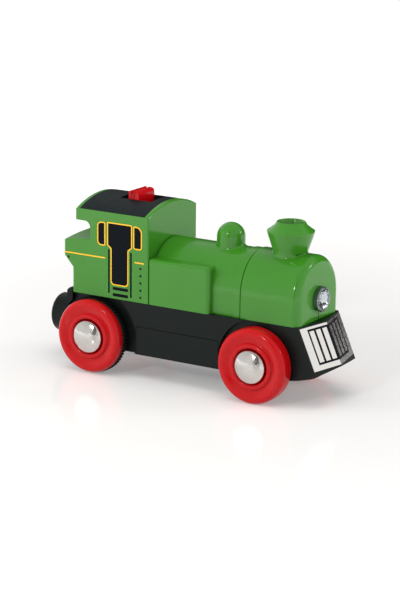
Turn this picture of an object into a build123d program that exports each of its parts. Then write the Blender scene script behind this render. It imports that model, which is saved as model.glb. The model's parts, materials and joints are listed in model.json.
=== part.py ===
from build123d import *
import os
from math import asin, atan2, cos, hypot, pi, sin, sqrt

# Battery engine for grooved wooden track. Millimetres; X forward, Y to the left, Z up from the ground.
# Places along X are measured from the middle of the wheelbase and shifted once, in save().
os.makedirs("parts", exist_ok=True)

# ---- driving sizes -------------------------------------------------------------------------
wheelbase = 53.0
rear_overhang = 9.6  # rear axle to the back of the buffer beam
front_overhang = 11.92  # front axle to the smokebox face
frame_half = 11.2  # half the width of the chassis between the wheels
skirt_out = 1.2  # how far the chassis skirts stand out from the frame
body_out = 0.25  # how far the green shell stands out from the skirts
deck_gap = 0.5  # tyre top to the deck, the joint between the black chassis and the green shell
keel_z = 7.0  # underside of the chassis
shell_wall = 1.5
frame_wall = 1.0
floor_t = 1.2

run_gap = 0.05  # radial running clearance of axles, pins and shafts
slide_gap = 0.15  # clearance around parts that slide or lift out
seat_gap = 0.03  # clearance around parts that are pushed together

# wheels and axles
wheel_r = 10.5
wheel_gap = 0.45  # wheel to frame
wheel_t = 4.65
shoulder_r = 1.4
axle_r = 1.0
tyre_proud = 0.3
tyre_w = 1.9
tyre_t = 1.8
tyre_ribs = 60
cap_r = 4.67
cap_rim = 1.1
cap_dome = 1.4
rear_arch_gap = 3.1  # tyre to the edge of its arch
front_arch_gap = 1.8

# shell; heights ending in _h are above the deck
boiler_r = 10.9
boiler_axis_h = 6.3
smokebox_out = 0.5
smokebox_len = 17.9
band_len = 2.7  # band round the boiler behind the smokebox
band_out = 0.25
groove_w = 0.4
groove_d = 0.35
tank_len = 19.8
tank_h = 12.9
cab_len = 19.4
crown_h = 27.3
roof_rise = 3.0
roof_overhang = 5.0
roof_edge_t = 3.2
bunker_len = 6.2
bunker_out = 2.9
bunker_low_h = 7.1
bunker_lip_h = 10.3
bunker_rear_h = 14.6
bunker_cab_h = 16.1
bunker_round = 0.9
edge_round = 0.5  # outer edges of the cab, its roof and the bunker
dome_r = 3.98
dome_h = 23.5
dome_round = 0.7
dome_ahead = 19.1  # cab front to the dome's axis
chimney_behind = 9.1  # smokebox face to the chimney's axis
chimney_r = 6.58
chimney_neck_r = 4.75
chimney_rim_r = 4.15
chimney_bore_r = 3.3
chimney_wide_h = 23.5
chimney_top_h = 26.1
spigot_r = 3.4

# roof panel and switch
panel_t = 0.6
panel_border = 1.35
throw = 2.5  # travel of the switch each way
button_len = 3.3
button_half_y = 4.1
button_h = 1.95
switch_behind = 10.5  # cab front to the switch
slot_ahead = 1.85  # how much further the slot runs ahead of the switch than behind it
board_t = 1.0
board_drop = 4.2  # board top below the roof's inner crown

# headlamp
lamp_h = 5.8
lamp_r = 3.45
lamp_proud = 1.6
lens_h = 1.3

# plough
plough_slope = 0.443  # how far the face runs forward for each millimetre down
plough_vee = 2.33  # how far the ridge stands ahead of the sides
plough_toe_z = 10.2
foil_t = 0.12
foil_margin = 0.35

# coupling
coupler_r = 5.6
coupler_z = 11.8
coupler_len = 7.2
coupler_reach = 10.7  # buffer beam to the pole face
magnet_r = 4.7
magnet_t = 4.0

# cell, contacts and cover
cell_r = 5.25
cell_len = 44.5
nub_r = 2.6
nub_len = 1.0
cell_gap = 0.35
spring_len = 2.6
contact_t = 0.35
seam_z = 15.1
screw_head_r = 1.9
screw_r = 0.75
cover_boss_r = 2.4

# gears: teeth, module and layers
module = 0.5
axle_teeth = 18
second_big, second_small = 18, 8
first_big, first_small = 20, 8
pinion_teeth = 8
mesh_gap = 0.06
gear_t = 1.1
gear_gap = 0.2
plate_t = 0.8
pin_r = 0.7
gear_hub_r = 1.0
motor_len = 13.5
motor_half_x = 6.0
motor_half_z = 5.0

# ---- places worked out from the driving sizes ----------------------------------------------
rear_x = -wheelbase / 2
front_x = wheelbase / 2
tyre_r = wheel_r + tyre_proud
rear_arch_r = tyre_r + rear_arch_gap
front_arch_r = wheel_r + front_arch_gap
deck_z = 2 * tyre_r + deck_gap
boiler_axis_z = deck_z + boiler_axis_h
tank_z = deck_z + tank_h
crown_z = deck_z + crown_h
bunker_low_z = deck_z + bunker_low_h
bunker_lip_z = deck_z + bunker_lip_h
bunker_rear_z = deck_z + bunker_rear_h
bunker_cab_z = deck_z + bunker_cab_h
dome_z = deck_z + dome_h
chimney_wide_z = deck_z + chimney_wide_h
chimney_top_z = deck_z + chimney_top_h
lamp_z = deck_z + lamp_h
beam_x = rear_x - rear_overhang
pole_x = beam_x - coupler_reach
skirt_half = frame_half + skirt_out
body_half = skirt_half + body_out
smokebox_r = boiler_r + smokebox_out
face_x = front_x + front_overhang
step_x = face_x - smokebox_len
bunker_x = beam_x + 1.9
cab_rear_x = bunker_x + bunker_len
cab_x = cab_rear_x + cab_len
tank_x = cab_x + tank_len
dome_x = cab_x + dome_ahead
chimney_x = face_x - chimney_behind
slot_x = cab_x - switch_behind
roof_rear_x = cab_rear_x - roof_overhang
roof_r = (body_half**2 + roof_rise**2) / (2 * roof_rise)
roof_axis_z = crown_z - roof_r
roof_edge_z = crown_z - roof_rise
toe_x = face_x + plough_vee + plough_slope * (deck_z - plough_toe_z)
mid_x = (pole_x + toe_x) / 2

cover_x0 = rear_x + rear_arch_r  # the cover's skirts run from arch to arch
cover_x1 = front_x - front_arch_r
wheel_in = frame_half + wheel_gap
wheel_out = wheel_in + wheel_t
tread_out = wheel_out - shoulder_r

cell_z = keel_z + floor_t + cell_gap + cell_r
wall_rear = rear_x + axle_r + 1.6
contact_x = wall_rear + contact_t
spring_x = contact_x + spring_len
cell_rear = spring_x + run_gap
cell_front = cell_rear + cell_len
wall_front = cell_front + run_gap + contact_t

plate_out = frame_half - frame_wall - gear_gap
layer_c = plate_out - plate_t - gear_gap - gear_t
layer_b = layer_c - gear_gap - gear_t
layer_a = layer_b - gear_gap - gear_t
plate_in = layer_a - gear_gap - plate_t


def pitch_r(teeth):
    return module * teeth / 2


def meet(p, reach_p, height):
    """The point at a given height and a given distance ahead of p."""
    rise = height - p[1]
    return (p[0] + sqrt(reach_p**2 - rise**2), height)


axle_at = (rear_x, tyre_r)
second_reach = pitch_r(axle_teeth) + pitch_r(second_small) + mesh_gap
second_at = (rear_x - 0.7, tyre_r + sqrt(second_reach**2 - 0.7**2))
first_reach = pitch_r(second_big) + pitch_r(first_small) + mesh_gap
first_at = meet(second_at, first_reach, second_at[1] + first_reach * 0.865)
motor_reach = pitch_r(first_big) + pitch_r(pinion_teeth) + mesh_gap
motor_at = meet(first_at, motor_reach, max(first_at[1] + 1.6, cell_z + cell_r + 0.5 + motor_half_z))
motor_front = plate_in - 0.2
motor_rear = motor_front - motor_len

shell_screws = [(front_x + 4.0, 0.0), (rear_x - 4.8, -5.0)]
cover_screw = (cover_x1 - 4.2, (cell_r + skirt_half - floor_t + 1.5) / 2)
board_z = crown_z - shell_wall - board_drop
board_x0, board_x1 = cab_rear_x + shell_wall + 0.3, cab_x - shell_wall - 0.3
board_half = body_half - 3.2


# ---- helpers -------------------------------------------------------------------------------
def save(name, shape):
    export_step(Pos(-mid_x, 0, 0) * shape, f"parts/{name}.step")


def block(x0, x1, y0, y1, z0, z1):
    """Box between two corners."""
    middle = ((x0 + x1) / 2, (y0 + y1) / 2, (z0 + z1) / 2)
    return Pos(*middle) * Box(x1 - x0, y1 - y0, z1 - z0)


def slab(x0, x1, half_y, z0, z1):
    """Box that is symmetrical about the centre plane."""
    return block(x0, x1, -half_y, half_y, z0, z1)


def rod_x(y, z, r, x0, x1):
    return Pos((x0 + x1) / 2, y, z) * Rot(0, 90, 0) * Cylinder(r, x1 - x0)


def rod_y(x, z, r, y0, y1):
    return Pos(x, (y0 + y1) / 2, z) * Rot(90, 0, 0) * Cylinder(r, y1 - y0)


def rod_z(x, y, r, z0, z1):
    return Pos(x, y, (z0 + z1) / 2) * Cylinder(r, z1 - z0)


def plate_y(outline, y0, y1):
    """Plate across the engine from an outline of (x, z) points."""
    face = make_face(Polyline(*[(x, y0, z) for x, z in outline], close=True))
    return extrude(face, amount=y1 - y0, dir=(0, 1, 0))


def barrel(half, x0, x1, base_z=deck_z):
    """Bar along X with upright sides and a half-round top on the boiler's axis."""
    top = (x0, 0, boiler_axis_z + half)
    edges = [
        Line((x0, -half, base_z), (x0, half, base_z)),
        Line((x0, half, base_z), (x0, half, boiler_axis_z)),
        ThreePointArc((x0, half, boiler_axis_z), top, (x0, -half, boiler_axis_z)),
        Line((x0, -half, boiler_axis_z), (x0, -half, base_z)),
    ]
    return extrude(make_face(edges), amount=x1 - x0, dir=(1, 0, 0))


def vault(inset, x0, x1, half, base_z):
    """Bar along X under the roof's arc, set inwards by inset."""
    arc_bar = rod_x(0, roof_axis_z, roof_r - inset, x0, x1)
    return arc_bar & slab(x0, x1, half, base_z, crown_z + 1)


def turned(profile, at, outward):
    """Wheel part turned about its axle; profile holds (distance from centre plane, radius)."""
    wire = make_face(Polyline(*[(r, a) for a, r in profile], close=True))
    solid = revolve(wire, axis=Axis.Y)
    placed = Pos(at[0], 0, at[1]) * solid
    return placed if outward > 0 else mirror(placed, about=Plane.XZ)


def arc_points(centre, radius, start, end, steps):
    """Points along an arc, angles in quarter turns, for turned outlines."""
    turn = [start + (end - start) * i / steps for i in range(steps + 1)]
    return [(centre[0] + radius * cos(t * pi / 2), centre[1] + radius * sin(t * pi / 2)) for t in turn]


def gear(teeth, at, y0, towards, tooth_first, bore=0.0):
    """Spur gear across Y. A tooth, or else a gap, points from the gear's centre at a neighbour."""
    pitch = 2 * pi / teeth
    aim = atan2(towards[1] - at[1], towards[0] - at[0])
    start = aim if tooth_first else aim + pitch / 2
    tip, root = pitch_r(teeth) + 0.9 * module, pitch_r(teeth) - 1.2 * module
    outline = []
    for k in range(teeth):
        for r, share in ((root, -0.27), (tip, -0.09), (tip, 0.09), (root, 0.27)):
            angle = start + pitch * (k + share)
            outline.append((at[0] + r * cos(angle), at[1] + r * sin(angle)))
    wheel = plate_y(outline, y0, y0 + gear_t)
    return wheel - rod_y(*at, bore, y0, y0 + gear_t) if bore else wheel


def smooth_wire(points, r, bend):
    """Round wire along straight runs with rounded corners."""
    path = FilletPolyline(*points, radius=bend) if len(points) > 2 else Line(*points)
    return sweep(Plane(path @ 0, z_dir=path % 0) * Circle(r), path=path)


# ---- green shell ---------------------------------------------------------------------------
def cab_section(x, base_z):
    """Cross-section of the cab at x, from base_z up to the roof's arc."""
    half = body_half
    return make_face([
        Line((x, -half, base_z), (x, half, base_z)),
        Line((x, half, base_z), (x, half, roof_edge_z)),
        ThreePointArc((x, half, roof_edge_z), (x, 0, crown_z), (x, -half, roof_edge_z)),
        Line((x, -half, roof_edge_z), (x, -half, base_z)),
    ])


def bunker():
    """Coal bunker behind the cab, slanting outwards above its base, with a crowned sloping top."""

    def crowned(x, edge_z):
        half, crown = body_half + 0.5, edge_z + 1.0
        return make_face([
            Line((x, -half, deck_z), (x, half, deck_z)),
            Line((x, half, deck_z), (x, half, edge_z)),
            ThreePointArc((x, half, edge_z), (x, 0, crown), (x, -half, edge_z)),
            Line((x, -half, edge_z), (x, -half, deck_z)),
        ])

    lip_x, joint_x = bunker_x - bunker_out, cab_rear_x + 1
    outline = [
        (bunker_x, deck_z),
        (bunker_x, bunker_low_z),
        (lip_x, bunker_lip_z),
        (lip_x, bunker_cab_z + 3),
        (joint_x, bunker_cab_z + 3),
        (joint_x, deck_z),
    ]
    solid = plate_y(outline, -body_half, body_half)
    rear = solid.edges().filter_by(lambda e: e.center().X < bunker_x + 0.01 and abs(e.center().Y) > 1)
    solid = fillet(rear, bunker_round)
    folds = solid.edges().filter_by(Axis.Y).sort_by(Axis.X)
    solid = fillet(folds.filter_by(lambda e: bunker_low_z - 1 < e.center().Z < bunker_lip_z + 1), 0.5)
    solid &= loft([crowned(lip_x - 1, bunker_rear_z), crowned(joint_x, bunker_cab_z)], ruled=True)
    rim = solid.faces().sort_by(Axis.Z)[-1].edges().sort_by(Axis.X)[:-1]
    return fillet(rim, edge_round)


def cab():
    """Cab with a vaulted roof that overhangs the bunker."""
    walls = extrude(cab_section(cab_rear_x, deck_z), amount=cab_len, dir=(1, 0, 0))
    corners = walls.edges().group_by(Axis.X)[-1].sort_by(Axis.Z)[1:]
    walls = fillet(corners, edge_round)
    brow_z = roof_edge_z - roof_edge_t
    brow = extrude(cab_section(roof_rear_x, brow_z), amount=roof_overhang + 1, dir=(1, 0, 0))
    brow = fillet(brow.edges().group_by(Axis.X)[0], edge_round)
    throat = slab(cab_rear_x - 1.8, cab_rear_x + 1, body_half, brow_z - 1.8, brow_z + 1)
    throat -= rod_y(cab_rear_x - 1.8, brow_z - 1.8, 1.8, -body_half - 1, body_half + 1)
    return walls + brow + throat


def dome():
    """Steam dome with a small round where it rises from the boiler."""
    seat = barrel(boiler_r, dome_x - dome_r - 3, dome_x + dome_r + 3)
    solid = seat + rod_z(dome_x, 0, dome_r, boiler_axis_z, dome_z - dome_r)
    foot = (solid.edges() - seat.edges()).filter_by(lambda e: e.center().Z < dome_z - dome_r - 0.5)
    return fillet(foot, dome_round) + Pos(dome_x, 0, dome_z - dome_r) * Sphere(dome_r)


def tanks():
    """Side tanks on both sides of the boiler, rounded at the top and at the front."""
    solid = slab(cab_x - 1, tank_x, body_half, deck_z, tank_z)
    uprights = solid.edges().filter_by(Axis.Z).group_by(Axis.X)[-1]
    solid = fillet(uprights, 1.3)
    top = solid.faces().sort_by(Axis.Z)[-1].edges().sort_by(Axis.X)[1:]
    return fillet(top, 1.0)


def groove():
    """Thin groove where the cab front meets the tanks and the boiler."""
    width, depth = 0.5, 0.4
    ring = slab(cab_x, cab_x + width, body_half + 1, deck_z - 1, boiler_axis_z + boiler_r + 1)
    core = slab(cab_x, cab_x + width, body_half - depth, deck_z - 1, tank_z - depth)
    return ring - core - barrel(boiler_r - depth, cab_x, cab_x + width)


def hollow():
    """The inside of the shell, open at the bottom."""
    wall = shell_wall
    inner = body_half - wall
    cab_in = slab(cab_rear_x + wall, cab_x - wall, inner, deck_z - 1, roof_edge_z - 1)
    roof_in = vault(wall, cab_rear_x + wall, cab_x - wall, inner, roof_edge_z - 1.5)
    low_in = slab(bunker_x + wall, cab_x - wall, inner, deck_z - 1, bunker_low_z)
    coal_x0 = bunker_x - bunker_out + 2 * wall
    coal_in = slab(coal_x0, cab_rear_x + 2, inner, bunker_lip_z, bunker_rear_z - wall)
    coal_in += slab(bunker_x + wall, cab_rear_x + 2, inner, bunker_low_z - 1, bunker_lip_z + 1)
    tank_in = slab(cab_x - wall - 1, tank_x - wall, inner, deck_z - 1, tank_z - wall)
    boiler_in = barrel(boiler_r - wall, cab_x - wall - 1, step_x + wall, deck_z - 1)
    smoke_in = barrel(smokebox_r - wall, step_x + wall, face_x - wall, deck_z - 1)
    return cab_in + roof_in + low_in + coal_in + tank_in + boiler_in + smoke_in


def shell():
    smokebox = barrel(smokebox_r, step_x, face_x)
    front = smokebox.faces().sort_by(Axis.X)[-1].edges().sort_by(Axis.Z)[1:]
    smokebox = fillet(front, 2.2)
    solid = cab() + bunker() + tanks() + barrel(boiler_r, cab_x - 1, face_x - 3) + smokebox + dome()
    solid += barrel(boiler_r + band_out, step_x - band_len, step_x)
    seam_ring = barrel(smokebox_r + 1, step_x - groove_w, step_x, deck_z - 1)
    solid -= seam_ring - barrel(boiler_r - groove_d, step_x - groove_w, step_x, deck_z - 1)
    solid = solid - groove() - hollow()
    for x, y in shell_screws:
        solid += rod_z(x, y, 2.2, deck_z, deck_z + 8)
    front_boss_x = shell_screws[0][0]
    solid += slab(front_boss_x - 0.5, front_boss_x + 0.5, smokebox_r - shell_wall, deck_z + 1, deck_z + 6)
    for x in (board_x0 + 1.5, board_x1 - 1.5):
        for y in (board_half - 1.5, 1.5 - board_half):
            solid += rod_z(x, y, 1.2, board_z + board_t, roof_edge_z)
    for x, y in shell_screws:
        solid -= rod_z(x, y, axle_r, deck_z - 1, deck_z + 6)
    panel = roof_panel_body(seat_gap)
    solid -= panel
    solid -= switch_slot()
    solid -= rod_z(chimney_x, 0, spigot_r + seat_gap, boiler_axis_z + 2, chimney_top_z)
    solid -= rod_x(0, lamp_z, lamp_r + seat_gap, face_x - shell_wall - 1, face_x + 1)
    seam_w = 0.35
    solid -= slab(face_x - 0.4, face_x + 1, seam_w / 2, deck_z - 1, lamp_z)
    save("body_shell", solid)


# ---- roof panel, switch and board ----------------------------------------------------------
def switch_slot():
    reach = throw + button_len / 2 + slide_gap
    half_y = button_half_y + slide_gap
    return slab(slot_x - reach, slot_x + reach + slot_ahead, half_y, roof_edge_z - 2, crown_z + 1)


def roof_panel_body(grow=0.0):
    x0, x1 = roof_rear_x + panel_border - grow, cab_x - panel_border + grow
    half = body_half - body_out + grow
    outer = vault(0, x0, x1, half, roof_edge_z - 1)
    return outer - vault(panel_t + grow, x0 - 1, x1 + 1, half + 1, roof_edge_z - 2)


def roof_panel():
    save("roof_panel", roof_panel_body() - switch_slot())


def switch():
    """Button with two ridges across it, which fills the slot's width, its slider and the sprung wiper."""
    top, half = crown_z + button_h, button_len / 2
    slider_top = crown_z - shell_wall - 1.0
    outline = [
        (slot_x - half, slider_top),
        (slot_x - half, crown_z),
        (slot_x - half + 0.05, top - 0.2),
        (slot_x - half + 0.25, top),
        (slot_x - half + 0.6, top),
        (slot_x - half + 0.95, top - 0.6),
        (slot_x - half + 1.3, top - 0.6),
        (slot_x - half + 1.65, top),
        (slot_x - half + 2.25, top),
        (slot_x + half - 0.3, top - 0.3),
        (slot_x + half, top - 0.9),
        (slot_x + half, slider_top),
    ]
    button = plate_y(outline, -button_half_y, button_half_y)
    rib_gap, rib_deep = 0.25, 0.25
    for x in (slot_x - half + 0.7, slot_x - half + 1.35, slot_x - half + 2.0):
        ends = slab(x, x + rib_gap, button_half_y + 1, crown_z - 0.5, top + 1)
        button -= ends - slab(x, x + rib_gap, button_half_y - rib_deep, crown_z - 1, top + 2)
    peg_r = 0.9
    peg = rod_z(slot_x, 0, peg_r, slider_top - 1.2, slider_top)
    save("switch_button", button + peg)
    slider = slab(slot_x - 3.2, slot_x + 3.2, button_half_y + 1.4, slider_top - 1.4, slider_top)
    save("switch_slider", slider - rod_z(slot_x, 0, peg_r, slider_top - 2, slider_top + 1))
    board_top = board_z + board_t
    strips = []
    for y in (-2.6, 2.6):
        bridge = block(slot_x - 2.4, slot_x + 2.4, y - 0.7, y + 0.7, slider_top - 1.7, slider_top - 1.4)
        for x in (slot_x - 2.4, slot_x + 2.1):
            bridge += block(x, x + 0.3, y - 0.7, y + 0.7, board_top + 0.1, slider_top - 1.4)
        strips.append(bridge)
    save("switch_wiper", Compound(strips))


def board():
    save("circuit_board", slab(board_x0, board_x1, board_half, board_z, board_z + board_t))
    chip = slab(slot_x - 2.5, slot_x + 2.5, 2.0, board_z - 1.5, board_z)
    capacitor = rod_z(slot_x + 5.5, 3.0, 1.8, board_z - 4.5, board_z)
    resistor = block(slot_x - 6.5, slot_x - 4.9, 1.0, 4.2, board_z - 0.6, board_z)
    save("board_components", Compound([chip, capacitor, resistor]))


# ---- chimney -------------------------------------------------------------------------------
def chimney():
    low = boiler_axis_z + smokebox_r - shell_wall - 0.4
    saddle = boiler_axis_z + smokebox_r - 2.5
    outline = [
        (0, saddle),
        (chimney_neck_r, saddle),
        (chimney_neck_r + 0.1, saddle + 3.4),
        (chimney_r - 0.35, chimney_wide_z - 1.3),
        (chimney_r, chimney_wide_z - 0.1),
        (chimney_r - 0.1, chimney_wide_z + 0.3),
        (chimney_rim_r + 0.25, chimney_top_z - 0.25),
        (chimney_rim_r - 0.1, chimney_top_z),
        (chimney_bore_r + 0.3, chimney_top_z),
        (chimney_bore_r, chimney_top_z - 0.35),
        (chimney_bore_r - 0.2, chimney_wide_z - 3.6),
        (0, chimney_wide_z - 4.0),
    ]
    face = make_face(Polyline(*[(r, 0, z) for r, z in outline], close=True))
    stack = revolve(face, axis=Axis.Z)
    stack = Pos(chimney_x, 0, 0) * stack
    stack -= rod_x(0, boiler_axis_z, smokebox_r, chimney_x - 9, chimney_x + 9)
    spigot = rod_z(chimney_x, 0, spigot_r, low, boiler_axis_z + smokebox_r + 0.5)
    save("chimney", stack + spigot)


# ---- headlamp ------------------------------------------------------------------------------
def headlamp():
    back, rim = face_x - 2.8, face_x + lamp_proud
    lens_r = lamp_r - 0.35
    led_r = 1.5
    bowl = [
        (back, led_r + run_gap),
        (back, lamp_r - 0.9),
        (back + 0.8, lamp_r),
        (rim - 0.25, lamp_r),
        (rim, lamp_r - 0.2),
        (rim, lens_r),
        (rim - 0.9, lens_r),
        (rim - 0.9, lens_r - 0.25),
        (back + 1.2, led_r + 0.3),
        (back + 0.9, led_r + run_gap),
    ]
    face = make_face(Polyline(*[(x, r, 0) for x, r in bowl], close=True))
    save("headlamp_reflector", Pos(0, 0, lamp_z) * revolve(face, axis=Axis.X))
    edge, seat_x = lens_r - seat_gap, rim - 0.87
    ball_r = (edge**2 + lens_h**2) / (2 * lens_h)
    ball_x, half_turn = rim + lens_h - ball_r, asin(edge / ball_r) / 2
    crown = (ball_x + ball_r * cos(half_turn), ball_r * sin(half_turn), 0)
    profile = [
        Line((seat_x, 0, 0), (seat_x, edge, 0)),
        Line((seat_x, edge, 0), (rim, edge, 0)),
        ThreePointArc((rim, edge, 0), crown, (rim + lens_h, 0, 0)),
        Line((rim + lens_h, 0, 0), (seat_x, 0, 0)),
    ]
    save("headlamp_lens", Pos(0, 0, lamp_z) * revolve(make_face(profile), axis=Axis.X))
    led = rod_x(0, lamp_z, led_r, back - 1.2, back + 1.0) + Pos(back + 1.0, 0, lamp_z) * Sphere(led_r)
    save("headlamp_led", led + rod_x(0, lamp_z, led_r + 0.3, back - 1.2, back - 0.4))


# ---- chassis -------------------------------------------------------------------------------
def plough_body():
    """Front block whose two faces meet in a raked ridge on the centre plane."""

    def section(z):
        nose = face_x + plough_slope * (deck_z - z)
        side = smokebox_r
        ridge, back = (nose + plough_vee, 0), front_x + 3
        points = [(back, -side), (nose, -side), ridge, (nose, side), (back, side)]
        return make_face(Polyline(*[(x, y, z) for x, y in points], close=True))

    block_body = loft([section(keel_z), section(deck_z)], ruled=True)
    heel = (front_x + front_arch_r - 3.7, -20, keel_z)
    belly = (heel[0] + 6.4, -20, keel_z + 1.25)
    tip = (toe_x + 0.5, -20, plough_toe_z + 0.2)
    low, past = keel_z - 2, toe_x + 8
    toe = [
        ThreePointArc(heel, belly, tip),
        Polyline(tip, (past, -20, tip[2]), (past, -20, low), (heel[0], -20, low), heel),
    ]
    return block_body - extrude(make_face(toe), amount=40, dir=(0, 1, 0))


def cover_opening(grow):
    """Space of the battery cover's tray and skirts."""
    bay0, bay1 = cell_rear - 0.5 - grow, wall_front - 0.2 + grow
    top = keel_z + floor_t + grow
    tray = slab(bay0, bay1, cell_r + 0.25 + grow, keel_z - 1, top)
    return tray + slab(cover_x0 - grow, cover_x1 + grow, skirt_half + 1, keel_z - 1, top)


def chassis():
    core = slab(beam_x + 1.2, front_x + 6, frame_half, keel_z, deck_z)
    skirts = slab(beam_x, front_x, skirt_half, keel_z, deck_z)
    for x, z, r in ((rear_x, tyre_r, rear_arch_r), (front_x, wheel_r, front_arch_r)):
        skirts -= rod_y(x, z, r, -skirt_half - 1, skirt_half + 1)
    beam = slab(beam_x, bunker_x - seat_gap, skirt_half, keel_z, deck_z + 1.0)
    beam = chamfer(beam.edges().filter_by(Axis.Y).sort_by(Axis.Z)[-2:].sort_by(Axis.X)[:1], 0.8)
    beam -= rod_y(*axle_at, tyre_r + 1.0, -skirt_half - 1, -frame_half)
    beam -= rod_y(*axle_at, tyre_r + 1.0, frame_half, skirt_half + 1)
    solid = core + skirts + beam + plough_body()

    # room for the drive and the cell, with the cradle and end walls that stay in it
    room_half = frame_half - frame_wall
    solid -= slab(bunker_x, front_x + 6.5, room_half, keel_z + floor_t, deck_z + 3)
    x0, x1 = cover_x0, cover_x1
    solid -= slab(x0 + frame_wall, x1 - frame_wall, skirt_half - floor_t, keel_z + floor_t, deck_z + 3)
    cradle_in, cradle_out = cell_r + 0.5, cell_r + 1.5
    cradle_rear, cradle_front = min(cell_rear + 1.5, x0 - 2), wall_front + 0.5
    roof_z = cell_z + cell_r + cell_gap
    for side in (-1, 1):
        y0, y1 = sorted((side * cradle_in, side * cradle_out))
        solid += block(cradle_rear, cradle_front, y0, y1, keel_z + floor_t + slide_gap, roof_z)
        solid += block(x1 - 2, cradle_front, y0, y1, keel_z + 0.5, roof_z)
        solid += block(cradle_rear, x0 + 2, y0, y1, keel_z + 0.5, roof_z)
    solid += slab(motor_at[0] + motor_half_x + 1.5, cradle_front, cradle_out, roof_z, roof_z + 1.2)
    solid += block(wall_rear - 1, wall_rear, -room_half, plate_in - 0.1, keel_z + 0.5, cell_z + cell_r)
    solid += slab(wall_front, wall_front + 0.8, room_half, keel_z + 0.5, cell_z + cell_r)

    # posts for the shell screws and for the cover screw
    for x, y in shell_screws:
        solid += rod_z(x, y, 2.7, keel_z, deck_z)
    sx, sy = cover_screw
    solid += block(sx - 2, sx + 2, cradle_in, skirt_half - floor_t - slide_gap, keel_z + 2.3, roof_z)
    solid += block(sx - 2, sx + 2, cradle_in, skirt_half - 0.5, seam_z + 0.5, roof_z)

    # gear blister under the rear axle
    blister_r = pitch_r(axle_teeth) + 0.9 * module + 0.35
    blister = rod_y(*axle_at, blister_r + 0.7, layer_a - 0.8, layer_b + 0.3)
    solid += blister & slab(beam_x, front_x, skirt_half, 0, keel_z + floor_t)
    solid -= rod_y(*axle_at, blister_r, layer_a - 0.2, layer_b - 0.1)

    # cuts: cover, skirts under the seam, axles, screws
    solid -= cover_opening(slide_gap)
    for side in (-1, 1):
        y0, y1 = sorted((side * (skirt_half - floor_t - slide_gap), side * (skirt_half + 1)))
        solid -= block(x0 - slide_gap, x1 + slide_gap, y0, y1, keel_z - 1, seam_z)
    for x, z in (axle_at, (front_x, wheel_r)):
        solid -= rod_y(x, z, axle_r + run_gap, -skirt_half - 1, skirt_half + 1)
    for x, y in shell_screws:
        solid -= rod_z(x, y, axle_r + run_gap, keel_z - 1, deck_z + 1)
        solid -= rod_z(x, y, screw_head_r + slide_gap, keel_z - 1, deck_z - 5)
    solid -= rod_z(sx, sy, screw_r + 0.08, keel_z, keel_z + 9.5)
    solid -= rod_z(sx, sy, cover_boss_r + slide_gap, keel_z - 1, keel_z + 2.3)

    # keyhole for the coupling's stem
    solid -= rod_x(0, coupler_z, 2.0 + seat_gap, beam_x - 1, bunker_x + 1)
    save("chassis", solid)


def shell_screw_group():
    screws = []
    for x, y in shell_screws:
        head = rod_z(x, y, screw_head_r, deck_z - 6.4, deck_z - 5)
        slot_cut = slab(-0.25, 0.25, 1.2, -0.6, 0.0) + slab(-1.2, 1.2, 0.25, -0.6, 0.0)
        shank = rod_z(x, y, axle_r, deck_z - 5, deck_z + 5.8)
        screws.append(head + shank - Pos(x, y, deck_z - 5.8) * slot_cut)
    save("shell_screws", Compound(screws))


def foil_labels():
    """Foil on the two faces of the plough."""
    foils = []
    rake = hypot(1, plough_slope)
    for side in (-1, 1):
        def corner(across, z, out):
            nose = face_x + plough_slope * (deck_z - z)
            return (nose + plough_vee * (1 - across / smokebox_r) + out, side * across, z)

        wide, narrow = smokebox_r - foil_margin, 0.1
        high, low = deck_z - foil_margin, plough_toe_z + 0.45
        faces = []
        for out in (0.0, foil_t * rake):
            spots = ((narrow, high), (wide, high), (wide, low), (narrow, low))
            ring = [corner(across, z, out) for across, z in spots]
            faces.append(make_face(Polyline(*ring, close=True)))
        foils.append(loft(faces, ruled=True))
    save("grille_label", Compound(foils))


# ---- battery, contacts and cover -----------------------------------------------------------
def power():
    body = rod_x(0, cell_z, cell_r, cell_rear, cell_front - nub_len)
    body = fillet(body.edges().filter_by(GeomType.CIRCLE), 0.5)
    save("battery_cell", body + rod_x(0, cell_z, nub_r, cell_front - nub_len, cell_front))
    tall = cell_z + cell_r + cell_gap
    front = slab(wall_front - contact_t, wall_front, 3.6, cell_z - 3.6, cell_z + 3.6)
    front += slab(wall_front - contact_t, wall_front, 1.2, cell_z + 3, tall - 0.1)
    save("contact_front", front)
    rear = slab(wall_rear, wall_rear + contact_t, 3.6, cell_z - 3.6, cell_z + 3.6)
    rear += block(wall_rear, wall_rear + contact_t, -3.6, -2.0, cell_z + 3, tall)
    save("contact_rear", rear)
    wire_r, turns = 0.22, 3
    coil_h = spring_len - 2 * wire_r - 0.04
    helix = Helix(coil_h / turns, coil_h, 2.9)
    coil = sweep(Plane(helix @ 0, z_dir=helix % 0) * Circle(wire_r), path=helix, is_frenet=True)
    save("contact_spring", Pos(contact_x + wire_r + 0.02, 0, cell_z) * Rot(0, 90, 0) * coil)


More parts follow.
